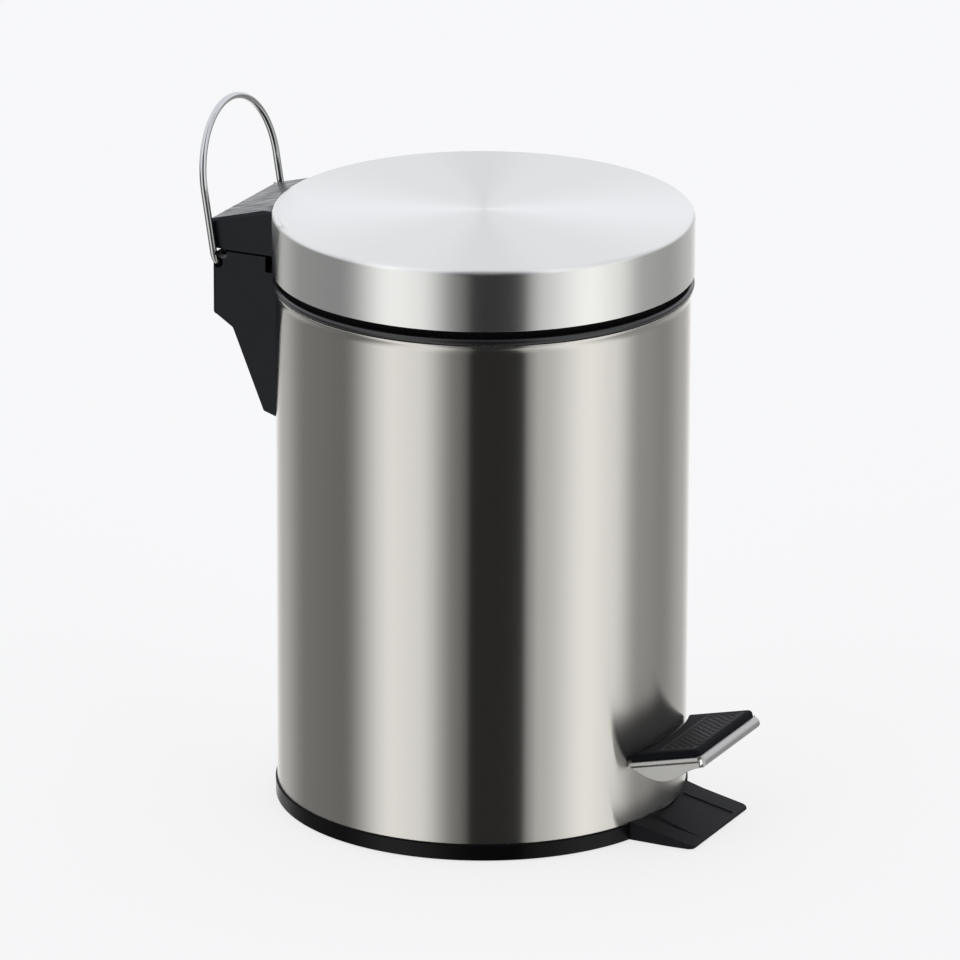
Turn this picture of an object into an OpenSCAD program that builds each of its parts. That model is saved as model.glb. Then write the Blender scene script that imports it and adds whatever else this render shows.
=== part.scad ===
// Pedal bin: a round steel body on a plastic base, with a hinged steel lid
// that a foot pedal opens through a lever and a push rod.
// Millimetres. The body's axis is Z, the floor is z = 0, the pedal points to -Y.

/* [Body] */
// Outside diameter of the steel body
body_d = 170; // [160:1:200]
// Thickness of the steel sheet of the body and of the lid
sheet_t = 0.5; // [0.4:0.1:0.8]
// Height of the steel body, from the base to the rim ring
body_h = 212.8; // [200:0.2:240]
// Radius of the curled bead at the top edge of the body
bead_r = 0.7; // [0.5:0.1:1]

/* [Base] */
// Height of the base ring that shows below the steel body
base_h = 7.4; // [7:0.2:10]
// How far the base ring stands out from the steel body
base_out = 0.7; // [0.3:0.1:2]
// Thickness of the base's walls and floor
base_t = 2; // [1.6:0.1:2.5]
// Height of the base's inner collar above the base ring
collar_h = 12; // [8:1:16]
// Width of the foot tongue under the pedal
tongue_w = 55.4; // [48:0.2:60]
// How far the tongue reaches out from the body
tongue_out = 24.6; // [18:0.2:30]
// Height of the tongue where it leaves the base
tongue_root_h = 7.7; // [7.4:0.1:9]
// Thickness of the tongue at its tip
tongue_tip_t = 1.4; // [1:0.1:1.8]
// Corner radius of the tongue
tongue_r = 3; // [2:0.5:6]
// Depth of the tongue's sunk middle panel
panel_d = 0.5; // [0.3:0.1:0.6]
// Diameter of a rubber foot
foot_d = 14; // [10:1:18]
// How far the feet stand out below the base
foot_out = 0.5; // [0.4:0.1:1]

/* [Rim ring] */
// Height of the ring's outer lip
lip_h = 3; // [2.4:0.2:5]
// How far the lip stands out from the steel body
lip_out = 1.3; // [1:0.1:2]
// Height of the ring's neck above its lip
neck_h = 5.3; // [4.6:0.1:6]
// Wall of the ring's neck and of its inner skirt
rim_t = 2; // [1.6:0.1:2.4]

/* [Bucket] */
// Room between the body and the bucket's side, under the bucket's flange
bucket_gap = 7.5; // [7.2:0.1:12]
// How much the bucket's radius narrows from its flange to its floor
bucket_taper = 8; // [4:0.5:16]
// Height of the bucket's floor above the base's floor
bucket_up = 41; // [36:1:60]
// Wall of the bucket
bucket_t = 1.6; // [1.2:0.1:2.2]
// Width of the bucket's flange
flange_w = 3.6; // [3.4:0.1:4]
// Thickness of the bucket's flange
flange_t = 1.8; // [1.4:0.1:2.2]
// Diameter of the bucket's wire handle
bucket_wire_d = 2.8; // [2.4:0.1:3.2]
// Distance from the bucket's side to its wire handle
bucket_bail_in = 6.5; // [6:0.5:12]
// Diameter of the grip on the bucket's handle
grip_d = 7; // [5:0.5:7.5]
// Half the angle that the grip covers on the handle
grip_half_a = 22; // [12:1:35]

/* [Lid] */
// How far the lid stands out from the steel body
lid_over = 1.4; // [1:0.1:1.8]
// Height of the lid
lid_h = 25.6; // [24:0.2:30]
// Gap between the ring's lip and the lid
lid_gap = 3.2; // [2.8:0.1:3.6]
// Radius of the lid's upper edge
lid_edge_r = 2.5; // [1.5:0.1:3]
// Wall of the plastic lid liner
liner_t = 1.3; // [1:0.1:1.6]

/* [Hinge] */
// Width of the hinge housing
house_w = 60; // [56:1:64]
// How far the lower housing's back stands out from the body
house_out = 24.6; // [24.2:0.1:26]
// How far the upper housing's back stands out from the lower housing's
cover_out = 2.1; // [1.8:0.1:2.3]
// Height of the lower housing
house_h = 68; // [64:0.5:72]
// Corner radius of the lower housing's back, seen from above
house_r = 2; // [1.5:0.1:2.2]
// Corner radius of the upper housing's back, seen from above
cover_r = 3.6; // [2.6:0.1:3.8]
// Wall of the housing
house_t = 1.6; // [1.4:0.1:1.8]
// Gap at the seam between the upper and the lower housing
seam_gap = 0.8; // [0.6:0.1:1]
// Distance of the hinge pin from the body's wall
hinge_out = 20.5; // [20.3:0.1:20.7]
// Height of the hinge pin above the lid's lower edge
hinge_up = 6.2; // [6:0.1:6.4]
// Diameter of the hinge pin
hinge_pin_d = 3; // [2.5:0.1:3]
// Angle that the lid opens
lid_open_a = 64; // [40:1:64]

/* [Carrying handle] */
// Diameter of the handle's wire
wire_d = 3; // [2.6:0.1:3]
// Distance between the middles of the handle's legs
bail_w = 64; // [64:0.5:70]
// Length of the handle, from its pivot to the middle of its arch
bail_l = 62.1; // [58:0.1:80]
// Angle that the handle leans back as it stands
bail_lean = 9; // [6:1:16]

/* [Pedal] */
// Width of the pedal
pedal_w = 56; // [46:1:60]
// How far the pedal reaches out from the body, along its slope
pedal_out = 29.6; // [24:0.2:32]
// Slope of the pedal
pedal_a = 13.5; // [11:0.5:14]
// Height of the pedal's plate at the body's wall
pedal_z = 35.2; // [33:0.2:36]
// Thickness of the pedal's steel
pedal_t = 1.5; // [1.2:0.1:1.8]
// Thickness of the rubber pad
pad_t = 3; // [2:0.2:4]
// Width of the lever's arm
arm_w = 20; // [16:1:24]
// Distance of the lever's pivot in front of the body's axis
pivot_front = 22; // [8:1:22]
// Height of the lever's pivot
pivot_z = 22.6; // [22:0.2:23]
// Diameter of the pivot pin
pivot_d = 4; // [3:0.5:4]

/* [Push rod] */
// Diameter of the rod
rod_d = 3; // [2.6:0.1:3]
// Distance of the rod from the body's wall, inside the body
rod_in = 6; // [5.6:0.1:6.2]
// Distance of the rod beside the middle
rod_x = 8; // [7.6:0.1:8.2]
// Distance of the rod's upper part in front of the hinge pin
lift_arm = 13; // [12:0.5:13]

/* [Fastenings] */
// Shank diameter of the screws
screw_d = 2.6; // [2.2:0.1:3]
// Head diameter of the screws
head_d = 5.6; // [5:0.1:6]
// Thickness of the screw heads
head_t = 1.6; // [1.2:0.1:2]

/* [Hidden] */
$fn = 64;

// Small overlap that lets a cut pass clean through
eps = 0.1;
// Radial clearance of a pin that turns in its hole
run_c = 0.05;
// Clearance between pieces that are fixed together round the body
fit_c = 0.1;
// Clearance between pieces that move past each other
free_c = 0.3;
// Thickness of a push-on clip
clip_t = 0.8;

// A length to the nearest hundredth, as the wires' places are set
function hundredth(v) = round(v * 100) / 100;

// Levels from the floor up
body_r = body_d / 2;
body_in_r = body_r - sheet_t;
base_r = body_r + base_out;
floor_z = foot_out + 3.5;
floor_top = floor_z + base_t;
body_top = base_h + body_h;
lip_top = body_top + lip_h;
lip_r = body_r + lip_out;
neck_top = lip_top + neck_h;
lid_z = lip_top + lid_gap;
lid_top = lid_z + lid_h;
lid_r = body_r + lid_over;

// Rim ring and bucket
skirt_r = body_in_r - fit_c - fit_c;
ledge_z = body_top + 0.8;
ledge_t = 2.5;
neck_r = skirt_r - 0.8;
bucket_r = body_in_r - bucket_gap;
ledge_in_r = bucket_r + 1.2;
bucket_z = floor_top + bucket_up;
bucket_floor_r = bucket_r - bucket_taper;
bucket_bail_r = bucket_r - bucket_bail_in;
bucket_bail_z = hundredth(ledge_z - 7);
bucket_wire_r = bucket_wire_d / 2;
function bucket_r_at(z) =
    bucket_floor_r + (bucket_r - bucket_floor_r) * (z - bucket_z) / (ledge_z - bucket_z);

// Hinge and housing
hinge_y = body_r + hinge_out;
hinge_z = lid_z + hinge_up;
hinge_pin_r = hinge_pin_d / 2;
house_y = body_r + house_out;
cover_y = house_y + cover_out;
house_x = house_w / 2;
seam_z = hinge_z - 4.2;
cover_z = seam_z + seam_gap / 2;
bracket_top = seam_z - seam_gap / 2;
bracket_z = bracket_top - house_h;
knuckle_r = hinge_pin_r + 1.7;
ear_x = house_x - 7.5;
ear_t = 4;
// The cover's lower back corner swings round the pin on this radius
corner_r = norm([cover_y - hinge_y, hinge_z - cover_z]);
notch_r = corner_r + free_c + 0.1;
notch_y = hinge_y - 2.7;

// Carrying handle
wire_r = wire_d / 2;
bail_r = bail_w / 2;
bail_y = hinge_y + 1.4;
bail_z = hinge_z - 9.7;
bail_bend = 4;

// Lever, rod and their travel
arm_x = arm_w / 2;
pivot_y = -pivot_front;
pivot_r = pivot_d / 2;
rod_r = rod_d / 2;
rod_in_y = hundredth(body_r - rod_in);
rod_out_y = hundredth(hinge_y - lift_arm);
rod_bend = 3;
rod_foot_z = hundredth(pivot_z - 8);
rod_travel = hundredth(2 * lift_arm * tan(lid_open_a / 2));
rod_top_z = hundredth(hinge_z - rod_travel / 2);
lever_l = rod_in_y - pivot_y;
lever_a = asin(rod_travel / lever_l);
// Room round the rod where it passes through the body
rod_gap = 0.7;
// Play of a rod's end in its slot
slot_play = 0.45;
// Height of the level run on which the rod steps out of the body, and its bends
jog_z = hundredth(bracket_z + 23.2);
jog_r = 4;
function pedal_top(y) = pedal_z - (y + body_r) * tan(pedal_a);
arm_flat_z = rod_foot_z - rod_r - 1.5;
arm_bend_y = (pedal_z - arm_flat_z) / tan(pedal_a) - body_r;
// Height of a point of the lever when the pedal is down
function pressed_z(y, z) =
    pivot_z + (y - pivot_y) * sin(lever_a) + (z - pivot_z) * cos(lever_a);

// Screws
screw_r = screw_d / 2;
head_r = head_d / 2;
bracket_screw_a = 11.5;
bracket_screw_z = [bracket_z + 16.5, bracket_z + 40];
cover_screw_a = 9.5;
cover_screw_z = lid_z + 13.8;
pivot_screw_x = 20;
pivot_screw_y = [pivot_y - 8, pivot_y + 8];

// ---- Shared shapes ----

// A flat outline, drawn in y and z, given a width along X
module along_x(x0, x1) {
    translate([x0, 0, 0]) rotate([90, 0, 90]) linear_extrude(height = x1 - x0) children();
}

// A round bar along X
module bar_x(r, x0, x1, y, z) {
    translate([x0, y, z]) rotate([0, 90, 0]) cylinder(r = r, h = x1 - x0);
}

// A round bar along Y at the back of the body, turned round the body's axis
module bar_out(r, y0, y1, a, z) {
    rotate([0, 0, a]) translate([0, y0, z]) rotate([-90, 0, 0]) cylinder(r = r, h = y1 - y0);
}

// A ring round the body's axis
module ring(r_out, r_in, z0, z1) {
    translate([0, 0, z0]) difference() {
        cylinder(r = r_out, h = z1 - z0);
        translate([0, 0, -eps]) cylinder(r = r_in, h = z1 - z0 + 2 * eps);
    }
}

// A bend of a round wire: it starts at the origin and runs up Z, towards +X
module wire_bend(r, bend, a) {
    translate([bend, 0, 0]) rotate([90, 0, 0]) rotate([0, 0, 180 - a])
        rotate_extrude(angle = a) translate([bend, 0]) circle(r = r);
}

// The same piece on both sides of the middle
module both_sides() {
    children();
    mirror([1, 0, 0]) children();
}

// A pan head screw: its shank runs up Y from the origin, its head lies below
module screw(l) {
    rotate([-90, 0, 0]) cylinder(r = screw_r, h = l);
    difference() {
        rotate([90, 0, 0]) cylinder(r = head_r, h = head_t);
        translate([0, -head_t, 0]) for (a = [0, 90]) rotate([0, a, 0])
            cube([head_r, 1.2, 0.7], center = true);
    }
}

// A corner of an outline, moved in by t from the two edges that meet there
function inset_corner(a, b, c, t) =
    let (u = (b - a) / norm(b - a), v = (c - b) / norm(c - b),
         m = [-u[1], u[0]], n = [-v[1], v[0]])
    b + (m + n) * t / (1 + m * n);

// An outline drawn counter-clockwise, moved in by t all round
function inset(points, t) =
    let (n = len(points))
    [for (i = [0:n - 1]) inset_corner(points[(i + n - 1) % n], points[i], points[(i + 1) % n], t)];

// ---- Body ----

// Base: a floor inside a ring, a collar inside the steel body, and the tongue
module base() {
    color("#1b1b1c") difference() {
        union() {
            ring(base_r, base_r - base_t, foot_out, base_h);
            translate([0, 0, floor_z]) cylinder(r = base_r - base_t + eps, h = base_t);
            ring(body_in_r - fit_c, body_in_r - fit_c - base_t, floor_z, base_h + collar_h);
            tongue();
            for (y = pivot_screw_y) both_sides() translate([pivot_screw_x, y, foot_out + 0.5])
                cylinder(r = screw_r + 2.2, h = floor_z - foot_out);
            for (a = [45:90:315]) rotate([0, 0, a]) translate([foot_ring_r, 0, 0])
                ring(foot_d / 2 + 1.5, foot_d / 2 + fit_c, foot_out + 1, floor_z + eps);
            translate([-stop_w / 2, stop_y - stop_l / 2, floor_z])
                cube([stop_w, stop_l, stop_z - stop_t - floor_z]);
        }
        translate([-arm_x - 3, -body_r, base_h + 1]) cube([arm_w + 6, notch_l, collar_h]);
        translate([-rod_x, body_r - notch_l, floor_top]) cube([2 * rod_x, notch_l, collar_h + base_h]);
        for (y = pivot_screw_y) both_sides() translate([pivot_screw_x, y, foot_out + 1.5])
            cylinder(r = screw_r, h = floor_top);
    }
}
foot_ring_r = body_r - 17;
// Length of the notches in the collar, in front for the pedal and behind for the rod
notch_l = 9;
stop_w = arm_w - 4;
stop_l = 10;
stop_t = 1.7;
stop_y = 19 - body_r;
stop_back = stop_y + stop_l / 2;
stop_z = pressed_z(stop_back, pedal_top(stop_back) - pedal_t / cos(pedal_a)) - free_c;

// Foot tongue: a wedge with a sunk panel between two ridges
module tongue() {
    tip_y = -body_r - tongue_out;
    slope = (tongue_root_h - foot_out - tongue_tip_t) / (tongue_out + 2.4);
    root_top = tongue_root_h + 3.6 * slope;
    difference() {
        intersection() {
            along_x(-tongue_w / 2, tongue_w / 2) polygon([[tip_y, foot_out], [-body_r + 10, foot_out],
                [-body_r + 10, root_top], [-body_r + 6, root_top],
                [tip_y, foot_out + tongue_tip_t]]);
            union() {
                translate([-tongue_w / 2, tip_y + tongue_r, 0])
                    cube([tongue_w, tongue_out + 10, root_top]);
                both_sides() translate([tongue_w / 2 - tongue_r, tip_y + tongue_r, 0])
                    cylinder(r = tongue_r, h = root_top);
                translate([tongue_r - tongue_w / 2, tip_y, 0])
                    cube([tongue_w - 2 * tongue_r, tongue_r + eps, root_top]);
            }
        }
        cylinder(r = base_r - base_t / 2, h = base_h);
        translate([0, 0, base_h]) cylinder(r = body_r + fit_c, h = base_h);
        along_x(-tongue_w / 2 + 11.5, tongue_w / 2 - 11.5) polygon([
            [tip_y + 2, foot_out + tongue_tip_t - panel_d + 2 * slope],
            [-body_r, tongue_root_h - 2.4 * slope - panel_d],
            [-body_r, tongue_root_h + 1], [tip_y + 2, tongue_root_h + 1]]);
        along_x(-tongue_w / 2 + base_t, tongue_w / 2 - base_t) polygon([
            [tip_y + 9, foot_out - eps], [-body_r + 20, foot_out - eps],
            [-body_r + 20, tongue_root_h - base_t - 1.4], [-body_r, tongue_root_h - base_t - 1.4],
            [tip_y + 9, foot_out + 0.7]]);
    }
    // The part of the wedge that joins the base ring
    intersection() {
        along_x(-tongue_w / 2, tongue_w / 2) polygon([[-body_r - base_out, foot_out],
            [-body_r + 6, foot_out], [-body_r + 6, base_h], [-body_r - base_out, base_h]]);
        ring(base_r, base_r - base_t, foot_out, base_h);
    }
}

// Feet: four rubber pads under the floor
module feet() {
    color("#303032") for (a = [45:90:315]) rotate([0, 0, a]) translate([foot_ring_r, 0, 0])
        cylinder(r = foot_d / 2, h = floor_z);
}

// Body: a steel tube with a curled bead on top, a slot for the pedal in front,
// and a slot for the rod and four screw holes at the back
module outer_shell() {
    slot_z0 = pressed_z(-body_r, pedal_z - pedal_t / cos(pedal_a)) - 0.9;
    color("#b9b8b4") difference() {
        union() {
            ring(body_r, body_in_r, base_h, body_top);
            rotate_extrude() translate([body_r + 0.1, body_top - bead_r]) circle(r = bead_r);
        }
        translate([-arm_x - 0.8, -body_r - 2, slot_z0])
            cube([arm_w + 1.6, body_r / 2, pedal_z + 1 - slot_z0]);
        translate([rod_x - rod_r - rod_gap, body_in_r - 6, jog_z - rod_r - rod_gap])
            cube([rod_d + 2 * rod_gap, 12, rod_d + 2 * rod_gap + rod_travel]);
        for (z = bracket_screw_z) both_sides()
            bar_out(screw_r + fit_c, body_in_r - 3, body_r + 3, bracket_screw_a, z);
    }
}

// Rim ring: a rounded lip on the body's top edge, a skirt inside the body,
// a neck under the lid and a ledge that carries the bucket
module rim_ring() {
    color("#202022") rotate_extrude() {
        polygon([[ledge_in_r, ledge_z - ledge_t], [skirt_r - rim_t, ledge_z - ledge_t],
            [skirt_r - rim_t, body_top - 10], [skirt_r, body_top - 10], [skirt_r, body_top],
            [lip_r - lip_h / 2, body_top], [lip_r - lip_h / 2, lip_top], [neck_r, lip_top],
            [neck_r, neck_top], [neck_r - rim_t, neck_top], [neck_r - rim_t, ledge_z],
            [ledge_in_r, ledge_z]]);
        translate([lip_r - lip_h / 2, body_top + lip_h / 2]) circle(r = lip_h / 2);
    }
}

// ---- Bucket ----

// Bucket: a tapered pail that hangs by its flange, with two small lugs that
// carry its folded handle
module inner_bucket() {
    in_top = bucket_r - bucket_t;
    color("#3a3a3c") difference() {
        union() {
            rotate_extrude() polygon([[0, bucket_z], [bucket_floor_r, bucket_z],
                [bucket_r, ledge_z], [bucket_r + flange_w, ledge_z],
                [bucket_r + flange_w, ledge_z + flange_t], [in_top, ledge_z + flange_t],
                [bucket_floor_r - bucket_t, bucket_z + bucket_t], [0, bucket_z + bucket_t]]);
            for (a = [-130, -50]) rotate([0, 0, a]) translate([bucket_bail_r - 1, -3, lug_z])
                cube([bucket_r_at(lug_z) - bucket_t / 2 - bucket_bail_r + 1, 6, lug_t]);
        }
        bar_x(bucket_wire_r + run_c, -bucket_r - 2, bucket_r + 2, 0, bucket_bail_z);
    }
}
lug_t = 3;
lug_z = bucket_bail_z - bucket_wire_r - free_c - lug_t;

// How far the bulge at each bend of the bucket's handle stands out from its wire
knob_out = 0.03;

// Bucket handle: a half ring of wire, folded level in the bucket's mouth,
// with its ends turned out through the wall
module bucket_bail() {
    end_x = bucket_r_at(bucket_bail_z) + 1.1;
    color("#c9cbcc") translate([0, 0, bucket_bail_z]) {
        rotate([0, 0, 180]) rotate_extrude(angle = 180) translate([bucket_bail_r, 0])
            circle(r = bucket_wire_r);
        bar_x(bucket_wire_r, -end_x, -bucket_bail_r, 0, 0);
        bar_x(bucket_wire_r, bucket_bail_r, end_x, 0, 0);
        both_sides() translate([bucket_bail_r, 0, 0]) sphere(r = bucket_wire_r + knob_out);
    }
}

// Grip: a plastic tube on the middle of the bucket's handle
module bucket_grip() {
    color("#2a2a2c") translate([0, 0, bucket_bail_z]) rotate([0, 0, 270 - grip_half_a])
        rotate_extrude(angle = 2 * grip_half_a) translate([bucket_bail_r, 0]) difference() {
            circle(r = grip_d / 2);
            circle(r = bucket_wire_r);
        }
}

// ---- Lid ----

// Lid: a pressed steel cap with a rounded upper edge
module lid_shell() {
    color("#d3d4d4") difference() {
        rotate_extrude() difference() {
            lid_section(0);
            lid_section(sheet_t);
        }
        both_sides() bar_out(screw_r + fit_c, lid_r - 4, lid_r + 2, cover_screw_a, cover_screw_z);
    }
}

// Half section of the lid, moved in by t
module lid_section(t) {
    translate([0, lid_z - (t > 0 ? eps : 0)])
        square([lid_r - lid_edge_r, lid_h - t + (t > 0 ? eps : 0)]);
    translate([0, lid_z - (t > 0 ? eps : 0)])
        square([lid_r - t, lid_h - lid_edge_r + (t > 0 ? eps : 0)]);
    translate([lid_r - lid_edge_r, lid_top - lid_edge_r]) circle(r = lid_edge_r - t);
}

liner_r = lid_r - sheet_t - fit_c;
liner_top = lid_top - sheet_t - fit_c;
liner_in_r = liner_r - liner_t;
step_z = neck_top + 1.8;
step_w = 10;
tab_angles = [-90, 30, 150];
// Room between the bucket's flange and the tabs that it passes when it lifts
step_c = 0.9;
step_r = bucket_r + flange_w + step_c;

// Liner: a plastic cup inside the lid, with three tabs that stop on the rim ring
module lid_liner() {
    chamfer = lid_edge_r;
    color("#1f1f21") difference() {
        union() {
            rotate_extrude() polygon([[0, liner_top], [liner_r - chamfer, liner_top],
                [liner_r, liner_top - chamfer], [liner_r, lid_z + 1.2], [liner_in_r, lid_z + 1.2],
                [liner_in_r, liner_top - chamfer - 0.5],
                [liner_in_r - chamfer + 0.7, liner_top - liner_t], [0, liner_top - liner_t]]);
            for (a = tab_angles) rotate([0, 0, a]) intersection() {
                ring(liner_in_r + eps, step_r, step_z, step_z + liner_t);
                translate([0, -step_w / 2, step_z]) cube([liner_r, step_w, liner_t]);
            }
        }
        both_sides() bar_out(screw_r + fit_c, liner_in_r - 4, liner_r + 2, cover_screw_a, cover_screw_z);
    }
}

// Bumpers: three rubber buttons between the liner and the rim ring
module lid_bumpers() {
    color("#303032") for (a = tab_angles) rotate([0, 0, a])
        translate([(step_r + liner_in_r) / 2, 0, neck_top + free_c])
            cylinder(r = (liner_in_r - step_r) / 2 - 0.2, h = step_z - neck_top - free_c);
}

// ---- Hinge ----

// Side outline of the upper housing, counter-clockwise; its top rises to the lid
function cover_outline(front, low) = [[front, low], [cover_y, low], [cover_y, cover_back_z],
    [cover_y - 1.2, cover_back_z + 1.2], [lid_r, cover_front_z], [front, cover_front_z]];
cover_front_z = lid_top - 4.6;
cover_back_z = lid_top - 12.3;
// Height of the middle of the housing's top wall
function cover_top(y) = cover_front_z - house_t / 2
    - (y - lid_r) * (cover_front_z - cover_back_z - 1.2) / (cover_y - 1.2 - lid_r);

// What is cut away to round a housing's two back corners
module corner_cut(back, r) {
    both_sides() difference() {
        translate([house_x - r, back - r, bracket_z - 1]) cube([r + 1, r + 1, 2 * house_h]);
        translate([house_x - r, back - r, bracket_z - 2]) cylinder(r = r, h = 2 * house_h + 2);
    }
}

// Upper housing: a plastic cap on the back of the lid, with the hinge barrel
// and the lift arm that the push rod raises
module hinge_cover() {
    bevel = 1.2;
    inner = inset(cover_outline(lid_r - 20, cover_z - 20), house_t);
    color("#2b2b2d") difference() {
        union() {
            difference() {
                hull() {
                    along_x(-house_x, house_x)
                        polygon(inset(cover_outline(lid_r - 12, cover_z - bevel), bevel));
                    along_x(bevel - house_x, house_x - bevel)
                        polygon(cover_outline(lid_r - 12, cover_z));
                }
                translate([0, 0, cover_z - 5]) cube([3 * lid_r, 4 * lid_r, 10], center = true);
                along_x(house_t + 0.4 - house_x, house_x - house_t - 0.4) polygon(inner);
            }
            both_sides() bar_x(knuckle_r, ear_x + ear_t + free_c, house_x - 1, hinge_y, hinge_z);
            bar_x(knuckle_r, free_c - ear_x, ear_x - free_c, hinge_y, hinge_z);
            both_sides() along_x(ear_x - free_c - 2, ear_x - free_c) cover_rib();
            along_x(-lift_x, lift_x) cover_rib();
            lift_bar();
            both_sides() bar_out(screw_r + 2, lid_r + fit_c, lid_r + 8.5, cover_screw_a, cover_screw_z);
            both_sides() rotate([0, 0, cover_screw_a]) translate([-1, lid_r + fit_c, cover_screw_z])
                cube([2, 8, cover_front_z - 2.3 - cover_screw_z]);
        }
        corner_cut(cover_y, cover_r);
        translate([0, 0, body_top]) cylinder(r = lid_r + fit_c, h = 2 * lid_h);
        bar_x(hinge_pin_r + run_c, 1.1 - house_x, house_x + 1, hinge_y, hinge_z);
        lift_slot();
        both_sides() bar_out(screw_r, lid_r - 2, lid_r + 7.5, cover_screw_a, cover_screw_z);
    }
}
lift_x = 2;
lift_r0 = lift_arm;
lift_r1 = lift_arm / cos(lid_open_a / 2);
slot_r = rod_r + slot_play;

// Rib between the barrel and the cap's top
module cover_rib() {
    polygon([[hinge_y - knuckle_r, hinge_z], [hinge_y + knuckle_r, hinge_z],
        [hinge_y + 2, cover_top(hinge_y + 2)], [hinge_y - 6, cover_top(hinge_y - 6)]]);
}

// Arm from the barrel to the rod, and the slot in it
module lift_bar() {
    translate([0, hinge_y, hinge_z]) rotate([180 + lid_open_a / 2, 0, 0]) {
        translate([-lift_x, 0, -slot_r - 1.8]) cube([2 * lift_x, lift_r1, 2 * slot_r + 3.6]);
        translate([-lift_x, lift_r1, 0]) rotate([0, 90, 0])
            cylinder(r = slot_r + 1.8, h = 2 * lift_x);
    }
}
module lift_slot() {
    translate([0, hinge_y, hinge_z]) rotate([180 + lid_open_a / 2, 0, 0]) {
        translate([-5, lift_r0 - 0.2, -slot_r]) cube([10, lift_r1 - lift_r0 + 0.4, 2 * slot_r]);
        for (r = [lift_r0 - 0.2, lift_r1 + 0.2]) translate([-5, r, 0]) rotate([0, 90, 0])
            cylinder(r = slot_r, h = 10);
    }
}

// Side outline of the lower housing, counter-clockwise; it tapers down to the body
function bracket_outline(front, top) = [[front, bracket_z], [body_r - 4.4, bracket_z],
    [body_r + 1.1, bracket_z + 1.7], [body_r + 15.2, bracket_z + 35.7],
    [house_y, bracket_z + 41.7], [house_y, top], [front, top]];

// Lower housing: a plastic bracket on the back of the body, with the ears of the
// hinge, the holes of the carrying handle and a guide for the push rod
module hinge_bracket() {
    inner = inset(bracket_outline(body_r - 40, bracket_top + 20), house_t);
    side_t = house_t + 0.4;
    boss_x = house_x - 5;
    color("#262628") difference() {
        union() {
            difference() {
                union() {
                    difference() {
                        along_x(-house_x, house_x) polygon(bracket_outline(body_r - 20, bracket_top));
                        along_x(side_t - house_x, house_x - side_t) polygon(inner);
                    }
                    intersection() {
                        along_x(-house_x, house_x) polygon(bracket_outline(body_r - 20, bracket_top));
                        bracket_inside(boss_x);
                    }
                }
                corner_cut(house_y, house_r);
                along_x(-house_x - 1, house_x + 1) intersection() {
                    translate([hinge_y, hinge_z]) circle(r = notch_r);
                    translate([notch_y, hinge_z - house_w / 2]) square(house_w);
                }
            }
            both_sides() hinge_ear();
        }
        translate([0, 0, bracket_z - 1]) cylinder(r = body_r + fit_c, h = 2 * house_h);
        translate([0, 0, body_top - 2]) cylinder(r = lip_r + fit_c, h = 40);
        translate([0, 0, lip_top - 1.7]) cylinder(r = lid_r + 3.6, h = 40);
        both_sides() bar_x(wire_r + run_c, boss_x - 1, house_x + 1, bail_y, bail_z);
        both_sides() translate([bail_r - bail_bend, bail_y, bail_z]) rotate([0, 90, 0])
            cylinder(r1 = wire_r + run_c, r2 = 1.6 * wire_r + run_c, h = house_x + eps - bail_r + bail_bend);
        both_sides() bar_x(hinge_pin_r + 0.02, ear_x - 1, ear_x + ear_t + 1, hinge_y, hinge_z);
        translate([rod_x, rod_out_y, guide_z - 1]) cylinder(r = rod_r + fit_c, h = 5);
        for (z = bracket_screw_z) both_sides()
            bar_out(screw_r, body_r - 3, body_r + 6.5, bracket_screw_a, z);
    }
}
guide_z = bracket_z + 46.5;

// Inside the lower housing: the bosses of the handle and the screws, the ribs under
// the hinge's ears and the shelf that guides the push rod
module bracket_inside(boss_x) {
    both_sides() along_x(boss_x, house_x - 1) translate([bail_y, bail_z])
        square(2 * (wire_r + 1.7), center = true);
    both_sides() along_x(ear_x, ear_x + ear_t) polygon([[body_r - 10, bracket_z + 34],
        [body_r + 7, bracket_z + 34], [body_r + 11, bracket_top - 9], [body_r + 11, bracket_top - 4],
        [body_r + 4, bracket_top - 2], [body_r - 10, bracket_top - 2]]);
    translate([-house_x, body_r - 10, guide_z]) cube([house_w, 40, 2.5]);
    for (z = bracket_screw_z) both_sides()
        bar_out(screw_r + 2, body_r - 2, house_y, bracket_screw_a, z);
}

// Ear: a barrel on a neck that leans back from the bracket's front
module hinge_ear() {
    neck_w = 1.6 * knuckle_r;
    neck_y = hinge_y - body_r - 7;
    neck_h = hinge_z - bracket_top + 5;
    bar_x(knuckle_r, ear_x, ear_x + ear_t, hinge_y, hinge_z);
    translate([ear_x, hinge_y, hinge_z]) rotate([180 + atan2(neck_h, neck_y), 0, 0])
        translate([0, 0, -neck_w / 2]) cube([ear_t, norm([neck_y, neck_h]), neck_w]);
}

// Hinge pin: held in the bracket's ears, the cover turns on its ends
module hinge_pin() {
    color("#c9cbcc") bar_x(hinge_pin_r, 1.3 - house_x, house_x - 0.4, hinge_y, hinge_z);
}

// Screws that hold the upper housing to the lid, from inside the lid
module cover_screws() {
    color("#9a9c9e") both_sides() rotate([0, 0, cover_screw_a])
        translate([0, liner_in_r - 0.1, cover_screw_z]) screw(lid_r + 7 - liner_in_r);
}

// Screws that hold the lower housing to the body, from inside the body
module bracket_screws() {
    color("#9a9c9e") for (i = [0, 1]) both_sides() rotate([0, 0, bracket_screw_a])
        translate([0, body_in_r - 0.1 - (i == 0 ? guide_t : 0), bracket_screw_z[i]])
            screw(body_r + 6 - body_in_r + (i == 0 ? guide_t : 0));
}

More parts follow.
